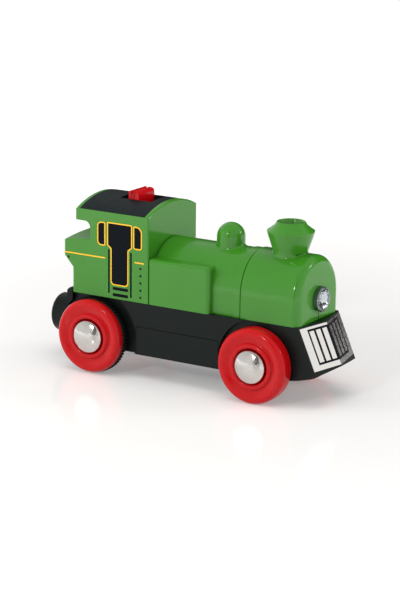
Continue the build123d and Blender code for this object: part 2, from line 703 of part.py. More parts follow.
def cover():
    """Battery cover: tray under the cell with the lower half of both skirts."""
    solid = cover_opening(0) & slab(rear_x, front_x, skirt_half, keel_z, seam_z)
    for side in (-1, 1):
        y0, y1 = sorted((side * (skirt_half - floor_t), side * skirt_half))
        solid += block(cover_x0, cover_x1, y0, y1, keel_z, seam_z - slide_gap)
    sx, sy = cover_screw
    solid += rod_z(sx, sy, cover_boss_r, keel_z, keel_z + 2.1)
    solid -= rod_z(sx, sy, screw_head_r + run_gap, keel_z - 1, keel_z + 1.2)
    solid -= rod_z(sx, sy, screw_r + run_gap, keel_z, keel_z + 3)
    save("battery_cover", solid)
    head = rod_z(sx, sy, screw_head_r, keel_z + 0.1, keel_z + 1.15)
    cross = Pos(sx, sy, keel_z) * (slab(-0.25, 0.25, 1.2, 0, 0.6) + slab(-1.2, 1.2, 0.25, 0, 0.6))
    save("cover_screw", head - cross + rod_z(sx, sy, screw_r, keel_z + 1.15, keel_z + 8.5))


# ---- wheels, tyres, axles and caps ---------------------------------------------------------
def rim_outline():
    """Outer face of a wheel, from the tread inwards to the cap's recess."""
    out = wheel_out
    shoulder = arc_points((tread_out, wheel_r - shoulder_r), shoulder_r, 1, 0, 8)
    ring_r, ring_mid = 0.8, cap_r + 1.1
    ring = arc_points((out - ring_r, ring_mid), ring_r, 1, -1, 10)
    dish = [(out - 0.25, wheel_r - shoulder_r - 1.2), (out - 0.85, ring_mid + 1.5)]
    dish += [(out - 0.95, ring_mid + ring_r)]
    step = out - cap_rim + 0.25
    recess = [(step, ring_mid - ring_r), (step, cap_r + 0.06), (out - cap_rim, cap_r + 0.05)]
    return shoulder + dish + ring + recess + [(out - cap_rim, axle_r)]


def wheel_set(name, at, tyred):
    for side, hand in ((1, "left"), (-1, "right")):
        if tyred:
            seat, lip = tyre_r - tyre_t, 0.35
            back = [
                (wheel_in, axle_r),
                (wheel_in, seat + 0.7),
                (wheel_in + lip, seat + 0.7),
                (wheel_in + lip, seat),
                (wheel_in + lip + tyre_w, seat),
                (wheel_in + lip + tyre_w, wheel_r),
            ]
            tyre_in, tyre_out = wheel_in + lip, wheel_in + lip + tyre_w
            ring = [(tyre_in, seat), (tyre_in, tyre_r - 0.35), (tyre_in + 0.3, tyre_r - 0.1)]
            ring += [(tyre_out, tyre_r - 0.1), (tyre_out, seat)]
            tyre = turned(ring, at, 1)
            ribs, rib_w = [], tyre_w - 0.35
            for k in range(tyre_ribs):
                turn = 2 * pi * k / tyre_ribs
                x, z = at[0] + (tyre_r - 0.25) * cos(turn), at[1] + (tyre_r - 0.25) * sin(turn)
                rib = Rot(0, -360 * k / tyre_ribs, 0) * Box(0.5, rib_w, 0.55)
                ribs.append(Pos(x, tyre_out - rib_w / 2, z) * rib)
            tyre = tyre + ribs
            tyre &= rod_y(*at, tyre_r, tyre_in, tyre_out)
            save(f"{name}_tyre_{hand}", tyre if side > 0 else mirror(tyre, about=Plane.XZ))
        else:
            back = [(wheel_in, axle_r), (wheel_in, wheel_r - 0.5), (wheel_in + 0.5, wheel_r)]
        save(f"{name}_wheel_{hand}", turned(back + rim_outline(), at, side))
        ball_r = (cap_r**2 + cap_dome**2) / (2 * cap_dome)
        base = wheel_out - cap_rim
        rim_y = base + cap_rim + 0.25
        edge = [(base, 0), (base, cap_r), (rim_y, cap_r)]
        climb = 10
        for i in range(1, climb):
            r = cap_r * (1 - i / climb)
            edge.append((rim_y + cap_dome - ball_r + sqrt(ball_r**2 - r**2), r))
        edge.append((rim_y + cap_dome, 0))
        save(f"{name}_cap_{hand}", turned(edge, at, side))
    save(f"{name}_axle", rod_y(*at, axle_r, cap_rim - wheel_out, wheel_out - cap_rim))


# ---- drive ---------------------------------------------------------------------------------
def drive():
    hub = axle_r + 0.9
    low = gear(axle_teeth, axle_at, layer_a, second_at, False, axle_r)
    low += rod_y(*axle_at, hub, layer_a - gear_gap / 2, layer_a) - rod_y(*axle_at, axle_r, 0, plate_out)
    save("axle_gear", low)
    spans = (layer_a - 0.1, plate_out - plate_t - 0.1)
    for name, at, small, big, ys, yb, small_to, big_to in (
        ("second_gear", second_at, second_small, second_big, layer_a, layer_b, axle_at, first_at),
        ("first_gear", first_at, first_small, first_big, layer_b, layer_c, second_at, motor_at),
    ):
        wheel = gear(small, at, ys, small_to, True) + gear(big, at, yb, big_to, False)
        wheel += rod_y(*at, gear_hub_r, *spans)
        save(name, wheel - rod_y(*at, pin_r + run_gap, 0, frame_half))
    pins = [rod_y(*at, pin_r, plate_in, plate_out) for at in (second_at, first_at)]
    save("gear_pins", Compound(pins))
    save("motor_pinion", gear(pinion_teeth, motor_at, layer_c, first_at, True, 0.5))
    save("motor_shaft", rod_y(*motor_at, 0.5, motor_front - 2, layer_c + gear_t))


def gearbox():
    """Frame of two plates joined by posts; it carries the gear pins and the motor."""
    big_r = pitch_r(first_big) + 0.9 * module
    x0, x1 = first_at[0] - big_r - 2.0, motor_at[0] + 5.0
    low_z, mid_z, high_z = keel_z + floor_t + 0.05, cell_z + cell_r + cell_gap, first_at[1] + big_r + 0.6
    knee = contact_x + 0.1
    outline = [(x0, low_z), (knee, low_z), (knee, mid_z), (x1, mid_z), (x1, high_z), (x0, high_z)]
    solid = plate_y(outline, plate_in, plate_in + plate_t)
    solid += plate_y(outline, plate_out - plate_t, plate_out)
    posts = [(x0 + 1.2, high_z - 1.2), (x1 - 1.2, high_z - 1.2), (x1 - 1.2, mid_z + 1.3)]
    for post in posts:
        solid += rod_y(*post, 1.1, plate_in, plate_out)
    for at in (second_at, first_at):
        solid -= rod_y(*at, pin_r, 0, frame_half)
    solid -= rod_y(*axle_at, axle_r + 0.1, 0, frame_half)
    solid -= rod_y(*motor_at, 2.0 + seat_gap, 0, plate_in + plate_t)
    save("gearbox_frame", solid)


def motor():
    x, z = motor_at
    flats = block(x - 9, x + 9, motor_rear, motor_front, z - motor_half_z, z + motor_half_z)
    can = rod_y(x, z, motor_half_x, motor_rear + 1.2, motor_front) & flats
    boss = rod_y(x, z, 2.0, motor_front, plate_in + plate_t)
    bore = rod_y(x, z, 0.5 + run_gap, motor_front - 2.5, plate_out)
    save("motor_can", can + boss - bore)
    save("motor_end_cap", rod_y(x, z, motor_half_x - 0.2, motor_rear, motor_rear + 1.2) & flats)
    tabs = [block(x + d - 0.6, x + d + 0.6, motor_rear - 0.8, motor_rear, z, z + 2) for d in (-2.6, 2.6)]
    save("motor_terminals", Compound(tabs))
    strap = block(x - 1.7, x + 1.7, motor_rear - 0.45, plate_in, z + motor_half_z, z + motor_half_z + 0.5)
    strap += block(x - 1.4, x + 1.4, motor_rear - 0.45, motor_rear, z + 1, z + motor_half_z)
    save("motor_strap", strap)


def leads():
    """Lead wires from the board to the motor, the cell contacts and the lamp."""
    r, bend = 0.4, 2.0
    x, z = motor_at
    start_x = board_x1 - 1.6
    run_z = boiler_axis_z + boiler_r - shell_wall - 2.2
    side_y = motor_rear - 0.4
    wires = []
    for d in (-2.6, 2.6):
        inner_y = side_y + 2.6
        start, turn = (x + d, side_y, z + 2), (x + d, side_y, z + 8)
        wires.append([start, turn, (x + d, inner_y, z + 13), (x + d, inner_y, board_z)])
    contact_mid, edge_x, tab_top = wall_rear + contact_t / 2, board_x0 + 0.8, cell_z + cell_r + cell_gap
    wires.append([(contact_mid, -2.8, tab_top), (edge_x, -2.8, tab_top + 4), (edge_x, -2.8, board_z)])
    tab_x, tab_z, lead_y = wall_front - contact_t / 2, cell_z + cell_r + cell_gap + 1.25, -4.6
    route = [(start_x, board_z), (start_x, run_z), (tab_x, run_z), (tab_x, tab_z)]
    wires.append([(x, lead_y, z) for x, z in route])
    led_x = face_x - 4.5
    for y in (-0.8, 0.8):
        route = [(start_x, board_z), (start_x, run_z), (led_x, run_z), (led_x, lamp_z + 2.2)]
        wires.append([(x, y, z) for x, z in route])
    save("lead_wires", Compound([smooth_wire(w, r, bend) for w in wires]))


# ---- coupling ------------------------------------------------------------------------------
def coupling():
    cup_x = pole_x + coupler_len
    cup = rod_x(0, coupler_z, coupler_r, pole_x, cup_x)
    cup = fillet(cup.edges().filter_by(GeomType.CIRCLE), 0.6)
    neck_r = 3.6
    cup += rod_x(0, coupler_z, neck_r, cup_x - 1, beam_x)
    cup += rod_x(0, coupler_z, 2.0, beam_x, bunker_x)
    cup -= rod_x(0, coupler_z, magnet_r + seat_gap, pole_x - 1, pole_x + magnet_t)
    cup -= rod_x(0, coupler_z, axle_r, pole_x, pole_x + magnet_t + 4)
    save("coupling_cup", cup)
    ring = rod_x(0, coupler_z, magnet_r, pole_x, pole_x + magnet_t)
    save("coupling_magnet", ring - rod_x(0, coupler_z, axle_r, pole_x - 1, pole_x + magnet_t + 1)
         - rod_x(0, coupler_z, 1.8, pole_x - 1, pole_x + 0.5))
    rivet = rod_x(0, coupler_z, axle_r, pole_x + 0.5, pole_x + magnet_t + 3.5)
    save("coupling_rivet", rivet + rod_x(0, coupler_z, 1.75, pole_x + 0.05, pole_x + 0.5))


shell()
roof_panel()
switch()
board()
chimney()
headlamp()
chassis()
shell_screw_group()
foil_labels()
power()
cover()
wheel_set("rear", axle_at, True)
wheel_set("front", (front_x, wheel_r), False)
drive()
gearbox()
motor()
leads()
coupling()
print("axis shift", round(-mid_x, 4), "rear axle", round(rear_x - mid_x, 4), axle_at[1])
for label, at in (("second", second_at), ("first", first_at), ("motor", motor_at)):
    print(label, round(at[0] - mid_x, 4), round(at[1], 4))
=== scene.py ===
"""Battery engine for wooden track: finishes, print, wheels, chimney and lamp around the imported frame."""

import json
import math

import bmesh
import bpy
from mathutils import Matrix, Vector


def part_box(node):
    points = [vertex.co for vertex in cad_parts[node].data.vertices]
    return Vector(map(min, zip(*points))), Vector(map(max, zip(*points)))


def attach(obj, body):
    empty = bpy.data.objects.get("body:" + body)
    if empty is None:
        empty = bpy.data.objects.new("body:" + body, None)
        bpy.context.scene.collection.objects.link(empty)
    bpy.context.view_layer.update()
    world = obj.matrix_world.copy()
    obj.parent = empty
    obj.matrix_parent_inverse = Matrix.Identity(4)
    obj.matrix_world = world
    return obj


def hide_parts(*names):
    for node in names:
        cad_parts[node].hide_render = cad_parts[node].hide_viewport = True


MM = 0.001
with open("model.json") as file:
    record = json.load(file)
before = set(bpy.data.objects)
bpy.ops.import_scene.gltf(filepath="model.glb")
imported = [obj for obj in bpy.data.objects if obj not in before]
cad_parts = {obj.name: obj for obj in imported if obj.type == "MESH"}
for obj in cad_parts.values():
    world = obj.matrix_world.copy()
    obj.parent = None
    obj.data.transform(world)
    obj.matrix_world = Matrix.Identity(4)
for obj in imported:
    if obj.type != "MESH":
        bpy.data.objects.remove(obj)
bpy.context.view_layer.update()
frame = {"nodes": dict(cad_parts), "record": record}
nodes = frame["nodes"]


# ---- places read from the frame ---------------------------------------------------------------
def low(node):
    """Lowest x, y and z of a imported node, in millimetres."""
    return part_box(node)[0] / MM


def high(node):
    """Highest x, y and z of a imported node, in millimetres."""
    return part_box(node)[1] / MM


SIDE_Y = high("body_shell").y
PANEL_BORDER = 1.35  # the roof panel stops this far short of the cab front
CAB_X = high("roof_panel").x + PANEL_BORDER


# ---- small makers -----------------------------------------------------------------------------
def linear(code):
    """An sRGB hex colour as the linear values that shaders take."""
    parts = [int(code[i : i + 2], 16) / 255 for i in (1, 3, 5)]
    return tuple([c / 12.92 if c <= 0.04045 else ((c + 0.055) / 1.055) ** 2.4 for c in parts] + [1.0])


def add(tree, kind, links=None, **settings):
    """One node with its settings and its links; a key of links or of inputs is a socket's name or number."""
    node = tree.nodes.new(kind)
    inputs = settings.pop("inputs", {})
    for name, value in settings.items():
        setattr(node, name, value)
    for name, value in inputs.items():
        node.inputs[name].default_value = value
    for name, source in (links or {}).items():
        tree.links.new(source, node.inputs[name])
    return node


def mesh_object(name, verts, faces, smooth=False):
    """A mesh in millimetres of the engine's frame, made an object in metres."""
    mesh = bpy.data.meshes.new(name)
    mesh.from_pydata([Vector(v) * MM for v in verts], [], faces)
    mesh.validate()
    mesh.polygons.foreach_set("use_smooth", [smooth] * len(mesh.polygons))
    piece = bpy.data.objects.new(name, mesh)
    bpy.context.scene.collection.objects.link(piece)
    return piece


def turn_outwards(piece, merge=0.0):
    """Turns a mesh's faces outwards, after points closer than merge millimetres have been made one."""
    work = bmesh.new()
    work.from_mesh(piece.data)
    if merge:
        bmesh.ops.remove_doubles(work, verts=work.verts, dist=merge * MM)
    bmesh.ops.recalc_face_normals(work, faces=work.faces)
    work.to_mesh(piece.data)
    work.free()
    return piece


def finish_piece(piece, body, material, slot, *replaced):
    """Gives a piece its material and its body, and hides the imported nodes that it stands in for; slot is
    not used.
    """
    piece.data.materials.clear()
    piece.data.materials.append(material)
    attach(piece, body)
    if replaced:
        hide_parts(*replaced)


def flatten(piece):
    """Applies a piece's modifiers, so that only its mesh is left."""
    graph = bpy.context.evaluated_depsgraph_get()
    done = bpy.data.meshes.new_from_object(piece.evaluated_get(graph))
    old = piece.data
    piece.modifiers.clear()
    piece.data = done
    bpy.data.meshes.remove(old)
    done.name = piece.name


def rounded(corners, steps=6):
    """Closed outline from (u, v, radius) corners."""
    out = []
    count = len(corners)
    for i in range(count):
        p, before, after = (Vector(corners[k % count][:2]) for k in (i, i - 1, i + 1))
        radius = corners[i][2]
        a, b = (before - p).normalized(), (after - p).normalized()
        half = a.angle(b) / 2
        reach = radius / math.tan(half)
        centre = p + (a + b).normalized() * radius / math.sin(half)
        start, end = p + a * reach - centre, p + b * reach - centre
        sweep = start.angle_signed(end)
        turn = math.atan2(start.y, start.x)
        angles = [turn - sweep * k / steps for k in range(steps + 1)]
        out += [(centre.x + radius * math.cos(a), centre.y + radius * math.sin(a)) for a in angles]
    return out


def grown(outline, by):
    """The outline moved outwards by a distance, for one that runs anticlockwise."""
    sharpest = 0.3  # a mitre is no longer than the distance over this
    count = len(outline)
    out = []
    for i in range(count):
        p, before, after = (Vector(outline[k % count]) for k in (i, i - 1, i + 1))
        n1 = Vector(((p - before).y, -(p - before).x)).normalized()
        n2 = Vector(((after - p).y, -(after - p).x)).normalized()
        mitre = (n1 + n2).normalized()
        out.append(tuple(p + mitre * by / max(sharpest, mitre.dot(n1))))
    return out


def plate(outline, place, thickness, hole=None):
    """Thin closed plate: (verts, faces). place(u, v, out) gives the point that far out of the surface."""
    rings = [outline] + ([hole] if hole else [])
    verts, faces = [], []
    for ring in rings:
        for out in (0.0, thickness):
            verts += [place(u, v, out) for u, v in ring]
    n = len(outline)
    if not hole:
        faces = [tuple(range(n))[::-1], tuple(range(n, 2 * n))]
        faces += [(i, (i + 1) % n, n + (i + 1) % n, n + i) for i in range(n)]
        return verts, faces
    for i in range(n):
        j = (i + 1) % n
        faces.append((i, j, n + j, n + i))
        faces.append((2 * n + j, 2 * n + i, 3 * n + i, 3 * n + j))
        faces.append((n + i, n + j, 3 * n + j, 3 * n + i))
        faces.append((j, i, 2 * n + i, 2 * n + j))
    return verts, faces


def plates_object(name, plates):
    """Several plates as one mesh with its faces turned outwards."""
    verts, faces = [], []
    for vs, fs in plates:
        base = len(verts)
        verts += vs
        faces += [tuple(base + i for i in f) for f in fs]
    return turn_outwards(mesh_object(name, verts, faces))


def turned(name, profile, centre, turns):
    """Piece turned about an axis along Y from (along, radius) points; a radius of 0 at an end closes it."""
    verts, faces, rows = [], [], []
    angles = [math.tau * k / turns for k in range(turns)]
    for along, radius in profile:
        ring = [(radius * math.cos(a), along, radius * math.sin(a)) for a in angles]
        if not radius:
            ring = ring[:1]
        rows.append(list(range(len(verts), len(verts) + len(ring))))
        verts += [tuple(part + middle for part, middle in zip(point, centre)) for point in ring]
    for a, b in zip(rows, rows[1:]):
        for k in range(turns):
            j = (k + 1) % turns
            if len(a) == 1:
                faces.append((a[0], b[j], b[k]))
            elif len(b) == 1:
                faces.append((a[k], a[j], b[0]))
            else:
                faces.append((a[k], a[j], b[j], b[k]))
    return turn_outwards(mesh_object(name, verts, faces, smooth=True))


def arc(centre, radius, start, end, steps):
    """Points of an arc from start to end, in degrees."""
    turns = [math.radians(start + (end - start) * i / steps) for i in range(steps + 1)]
    return [(centre[0] + radius * math.cos(t), centre[1] + radius * math.sin(t)) for t in turns]


def row_tree(name, around):
    """Geometry node tree that repeats the piece's own mesh in a row, or around an axis along Y."""
    tree = bpy.data.node_groups.new(name, "GeometryNodeTree")
    vector = "Centre" if around else "Step"
    sockets = {"Geometry": "Geometry", "Count": "Int", vector: "Vector", "Material": "Material"}
    for socket, kind in sockets.items():
        tree.interface.new_socket(socket, in_out="INPUT", socket_type="NodeSocket" + kind)
    tree.interface.new_socket("Geometry", in_out="OUTPUT", socket_type="NodeSocketGeometry")
    given = add(tree, "NodeGroupInput").outputs
    piece, count = given["Geometry"], given["Count"]
    if around:
        points = add(tree, "GeometryNodeMeshLine", {"Count": count}, inputs={"Offset": (0, 0, 0)})
        index = add(tree, "GeometryNodeInputIndex")
        share = add(tree, "ShaderNodeMath", {0: index.outputs[0], 1: count}, operation="DIVIDE")
        angle = add(tree, "ShaderNodeMath", {0: share.outputs[0]}, operation="MULTIPLY", inputs={1: math.tau})
        spin = add(tree, "ShaderNodeCombineXYZ", {"Y": angle.outputs[0]})
        home = add(tree, "ShaderNodeVectorMath", {0: given["Centre"]}, operation="SCALE",
                   inputs={"Scale": -1.0})
        unit = add(tree, "GeometryNodeTransform", {"Geometry": piece, "Translation": home.outputs[0]})
        copies = add(tree, "GeometryNodeInstanceOnPoints",
                     {"Points": points.outputs[0], "Instance": unit.outputs[0], "Rotation": spin.outputs[0]})
        placed = add(tree, "GeometryNodeTransform",
                     {"Geometry": copies.outputs[0], "Translation": given["Centre"]})
    else:
        points = add(tree, "GeometryNodeMeshLine", {"Count": count, "Offset": given["Step"]})
        placed = add(tree, "GeometryNodeInstanceOnPoints", {"Points": points.outputs[0], "Instance": piece})
    real = add(tree, "GeometryNodeRealizeInstances", {"Geometry": placed.outputs[0]})
    dressed = add(tree, "GeometryNodeSetMaterial",
                  {"Geometry": real.outputs[0], "Material": given["Material"]})
    add(tree, "NodeGroupOutput", {0: dressed.outputs[0]})
    return tree


ROW, RING = row_tree("repeat_in_a_row", False), row_tree("repeat_around_an_axle", True)


def repeat(piece, tree, count, vector, material):
    """Runs a repeat tree on a piece and keeps its plain mesh; vector is the tree's step or centre."""
    modifier = piece.modifiers.new("repeat", "NODES")
    modifier.node_group = tree
    ids = {item.name: item.identifier for item in tree.interface.items_tree if item.in_out == "INPUT"}
    modifier[ids["Count"]] = count
    modifier[ids["Centre" if "Centre" in ids else "Step"]] = tuple(v * MM for v in vector)
    modifier[ids["Material"]] = material
    flatten(piece)


# ---- finishes ---------------------------------------------------------------------------------
def surface(name, colour, roughness, metallic=0.0, ior=1.5, shine=0.5, tone=0.0, tone_mm=12.0,
            mottle=0.0, mottle_mm=1.0, bump=0.0, bump_mm=0.6, bump_deep=0.02, **sockets):
    """Shader with a drifting tone, an uneven gloss and a fine texture, each at its size in millimetres."""
    material = bpy.data.materials.new(name)
    material.use_nodes = True
    tree = material.node_tree
    tree.nodes.clear()
    place = add(tree, "ShaderNodeTexCoord").outputs["Object"]

    def noise(size, detail):
        cloud = add(tree, "ShaderNodeTexNoise", {"Vector": place},
                    inputs={"Scale": 1 / (size * MM), "Detail": detail})
        return cloud.outputs["Fac"]

    base = linear(colour)
    gloss = add(tree, "ShaderNodeMapRange", {"Value": noise(mottle_mm, 4.0)},
                inputs={"From Min": 0.3, "From Max": 0.7,
                        "To Min": roughness - mottle, "To Max": roughness + mottle})
    plain = {"Base Color": base, "Metallic": metallic, "IOR": ior, "Specular IOR Level": shine, **sockets}
    shader = add(tree, "ShaderNodeBsdfPrincipled", {"Roughness": gloss.outputs[0]}, inputs=plain)
    if tone:
        dark, pale = [tuple(min(1, c * f) for c in base[:3]) + (1,) for f in (1 - tone, 1 + tone)]
        blend = add(tree, "ShaderNodeMix", {0: noise(tone_mm, 3.0)}, data_type="RGBA",
                    inputs={6: dark, 7: pale})
        tree.links.new(blend.outputs[2], shader.inputs["Base Color"])
    if bump:
        relief = add(tree, "ShaderNodeBump", {"Height": noise(bump_mm, 2.0)},
                     inputs={"Strength": bump, "Distance": bump_deep * MM})
        tree.links.new(relief.outputs[0], shader.inputs["Normal"])
    add(tree, "ShaderNodeOutputMaterial", {"Surface": shader.outputs[0]})
    return material


# injection-moulded ABS from a polished tool: saturated, with crisp lamp reflections
GREEN = surface("gloss_green_abs", "#357A1B", 0.16, ior=1.53, tone=0.04, mottle=0.03, mottle_mm=2.5,
                bump=0.05, bump_mm=1.2, shine=0.42)
# the same plastic from a spark-eroded tool: a soft sheen and no clear reflections
BLACK = surface("satin_black_abs", "#0A1210", 0.34, ior=1.53, tone=0.10, mottle=0.05, mottle_mm=1.5,
                bump=0.22, bump_mm=0.3, shine=0.15)
ROOF = surface("matt_black_abs", "#11181A", 0.5, ior=1.53, tone=0.08, mottle=0.05, mottle_mm=1.0,
               bump=0.3, bump_mm=0.25, shine=0.1)
# from a polished tool again, like the green
RED = surface("gloss_red_abs", "#B2090F", 0.16, ior=1.53, tone=0.04, mottle=0.03, mottle_mm=2.0,
              bump=0.05, bump_mm=1.0, shine=0.2)
# moulded rubber: dull, with a dusty grain
TYRE = surface("moulded_rubber", "#0B0D0D", 0.6, ior=1.52, tone=0.15, mottle=0.08, mottle_mm=0.8,
               bump=0.35, bump_mm=0.2, shine=0.35)
# stamped caps, tumbled bright: the faint waviness breaks up what they mirror
STEEL = surface("pressed_steel", "#C4C0BC", 0.14, metallic=1.0, tone=0.12, tone_mm=2.0,
                mottle=0.07, mottle_mm=1.2, bump=1.0, bump_mm=1.1, bump_deep=0.09)
# turned and drawn parts, mostly hidden: a plain grey metal
PLAIN_STEEL = surface("drawn_steel", "#B5B5B8", 0.3, metallic=1.0, tone=0.05, mottle=0.08, mottle_mm=0.8)
# vacuum-coated plastic: mirror-bright, with the mould's ripple in it
CHROME = surface("metallised_cup", "#85888C", 0.07, metallic=1.0, tone=0.1, mottle=0.03, mottle_mm=1.0,
                 bump=1.0, bump_mm=0.9, bump_deep=0.04)
# aluminium film on a paper label: bright, with a slight crease
FOIL = surface("silver_foil", "#E9E6E2", 0.16, metallic=1.0, tone=0.03, mottle=0.05, mottle_mm=0.8,
               bump=0.25, bump_mm=0.6)
# parts inside the shell, each in its usual colour and gloss
BRASS = surface("spring_brass", "#B08D4A", 0.3, metallic=1.0, tone=0.06, mottle=0.08)
BOARD = surface("solder_mask", "#0E3B1D", 0.35, tone=0.1, mottle=0.05)
CHIP = surface("moulded_epoxy", "#141416", 0.5, tone=0.1, mottle=0.08)
ACETAL = surface("natural_acetal", "#DCD9CF", 0.35, tone=0.03, mottle=0.05)
CELL = surface("printed_cell_jacket", "#B5741C", 0.28, metallic=0.6, tone=0.05, mottle=0.05)
WIRE = surface("soft_pvc_jacket", "#7A1216", 0.45, tone=0.05, mottle=0.05)
# plated and tumbled: a soft grey shine
MAGNET = surface("nickel_plate", "#A9A8A6", 0.24, metallic=1.0, tone=0.05, mottle=0.06)
# pad-printed inks: thin, slightly dry films
INK_BLACK = surface("black_print", "#0B0F14", 0.3, tone=0.05, mottle=0.04,
                    bump=0.15, bump_mm=0.3, shine=0.05)
INK_YELLOW = surface("yellow_print", "#EDB51C", 0.3, tone=0.04, mottle=0.04,
                     bump=0.15, bump_mm=0.3, shine=0.4)
# moulded clear: a hard gloss and a strong bend of the light
CLEAR = surface("clear_polycarbonate", "#C9D2D8", 0.02, ior=1.58, mottle=0.01, **{"Transmission Weight": 1.0})

SLOT_FINISH = {
    "green_plastic": GREEN, "roof_black": ROOF, "red_plastic": RED, "black_plastic": BLACK,
    "tyre_rubber": TYRE, "cap_steel": STEEL, "steel": PLAIN_STEEL, "chromed_plastic": CHROME,
    "clear_lens": CLEAR, "silver_foil": FOIL, "brass_contact": BRASS, "board_green": BOARD,
    "board_parts": CHIP, "white_gear": ACETAL, "cell_jacket": CELL, "wire_jacket": WIRE,
    "magnet_steel": MAGNET,
}
for part in frame["record"]["subparts"]:
    node = nodes[part["node"]]
    node.data.materials.clear()
    node.data.materials.append(SLOT_FINISH[part["material_slot"]])

# ---- turned wheels, caps and tyres --------------------------------------------------------------
WHEEL_OUT = high("front_wheel_left").y
WHEEL_IN = low("front_wheel_left").y
AXLES = {"front": (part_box("front_axle")[0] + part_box("front_axle")[1]) / 2 / MM,
         "rear": (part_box("rear_axle")[0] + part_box("rear_axle")[1]) / 2 / MM}
WHEEL_R, SHOULDER, BORE_R = 10.5, 1.4, 1.0
CAP_R, CAP_SUNK, CAP_PROUD, CAP_DOME = 4.67, 1.1, 0.25, 1.4
RING_MID, RING_R = CAP_R + 1.1, 0.8  # the raised ring around the cap
TYRE_R, TYRE_RIBS, SEAT_R = 10.8, 66, 9.0
SEAT_IN, SEAT_OUT = WHEEL_IN + 0.35, WHEEL_IN + 2.25  # the tyre's seat in the wheel's tread
RIB_HALF, RIB_HIGH = 0.27, 0.38
WHEEL_TURNS, CAP_TURNS, TYRE_TURNS = 128, 96, 144  # corners around each


def wheel_profile(tyred):
    """From the bore's inner end over the tread and the outer face to the cap's recess."""
    out = WHEEL_OUT
    if tyred:
        back = [(WHEEL_IN, BORE_R), (WHEEL_IN, 9.65), (WHEEL_IN + 0.3, 9.7), (SEAT_IN, SEAT_R)]
        back += [(SEAT_OUT, SEAT_R), (WHEEL_IN + 2.26, WHEEL_R - 0.1), (WHEEL_IN + 2.4, WHEEL_R)]
    else:
        back = [(WHEEL_IN, BORE_R), (WHEEL_IN, WHEEL_R - 0.6)]
        back += arc((WHEEL_IN + 0.5, WHEEL_R - 0.5), 0.5, 180, 90, 6)
    shoulder = arc((out - SHOULDER, WHEEL_R - SHOULDER), SHOULDER, 90, 0, 14)
    dish = [(out - 0.03, 8.75), (out - 0.12, 8.45), (out - 0.34, 7.85), (out - 0.55, 7.3)]
    dish += [(out - 0.7, RING_MID + RING_R + 0.28), (out - 0.72, RING_MID + RING_R + 0.1)]
    ring = arc((out - RING_R, RING_MID), RING_R, 75, -80, 16)
    recess = [(out - CAP_SUNK + 0.28, RING_MID - RING_R), (out - CAP_SUNK + 0.05, CAP_R + 0.06)]
    return back + shoulder + dish + ring + recess + [(out - CAP_SUNK, BORE_R)]


def cap_profile():
    """From the middle of the cap's base over its rim and its dome."""
    ball = (CAP_R**2 + CAP_DOME**2) / (2 * CAP_DOME)
    base = WHEEL_OUT - CAP_SUNK
    rim = base + CAP_SUNK + CAP_PROUD
    reach = math.degrees(math.asin(CAP_R / ball))
    dome = arc((rim + CAP_DOME - ball, 0.0), ball, reach, 0, 16)
    return [(base, 0.0), (base, CAP_R), (rim - 0.12, CAP_R)] + dome[1:-1] + [(rim + CAP_DOME, 0.0)]


def on_axle(name, axle, side, profile, turns):
    """Piece turned about an axle, for the left (1) or the right (-1) side."""
    at = AXLES[axle]
    return turned(name, [(side * along, radius) for along, radius in profile], (at.x, 0, at.z), turns)


def tyre(hand, side):
    """Rubber ring with fine ribs across its tread."""
    at = AXLES["rear"]
    root = TYRE_R - RIB_HIGH
    ring = [(SEAT_IN, SEAT_R), (SEAT_IN, root - 0.3), (SEAT_IN + 0.3, root), (SEAT_OUT - 0.02, root)]
    piece = on_axle(f"rubber_tyre_{hand}", "rear", side, ring + [(SEAT_OUT, SEAT_R)], TYRE_TURNS)
    finish_piece(piece, "rear_wheelset", TYRE, "tyre_rubber", f"rear_tyre_{hand}")
    ends = side * (SEAT_IN + 0.3), side * SEAT_OUT
    levels = (root - 0.1, RIB_HALF), (TYRE_R - 0.01, RIB_HALF * 0.55)
    rib = [(u, y, at.z + h) for h, half in levels for y in ends for u in (at.x - half, at.x + half)]
    rib_faces = [(0, 1, 3, 2), (4, 6, 7, 5), (0, 4, 5, 1), (2, 3, 7, 6), (0, 2, 6, 4), (1, 5, 7, 3)]
    ribs = plates_object(f"rubber_tyre_ribs_{hand}", [(rib, rib_faces)])
    repeat(ribs, RING, TYRE_RIBS, (at.x, 0, at.z), TYRE)
    finish_piece(ribs, "rear_wheelset", TYRE, "tyre_rubber")


HANDS = (("left", 1), ("right", -1))
for axle in AXLES:
    for hand, side in HANDS:
        wheel = on_axle(f"{axle}_turned_wheel_{hand}", axle, side, wheel_profile(axle == "rear"), WHEEL_TURNS)
        finish_piece(wheel, f"{axle}_wheelset", RED, "red_plastic", f"{axle}_wheel_{hand}")
        cap = on_axle(f"{axle}_pressed_cap_{hand}", axle, side, cap_profile(), CAP_TURNS)
        finish_piece(cap, f"{axle}_wheelset", STEEL, "cap_steel", f"{axle}_cap_{hand}")
for hand, side in HANDS:
    tyre(hand, side)

# ---- printed trim on the cab sides ----------------------------------------------------------------
INK = 0.03  # thickness of a printed film
LINE = 0.34  # width of the yellow lines
BELT = 33.22, 33.6  # the yellow belt line's lower and upper edge
RIVET_R, RIVET_PITCH, RIVET_CORNERS = 0.34, 2.07, 16
MARK_ROUND = 0.2


def side_place(side):
    """Point on a cab side: across is measured back from the cab front, up from the ground."""
    return lambda u, v, out: (CAB_X + u, side * (SIDE_Y + out), v)


def box_outline(u0, u1, v0, v1):
    """Corners of a rectangle, anticlockwise."""
    return [(u0, v0), (u1, v0), (u1, v1), (u0, v1)]


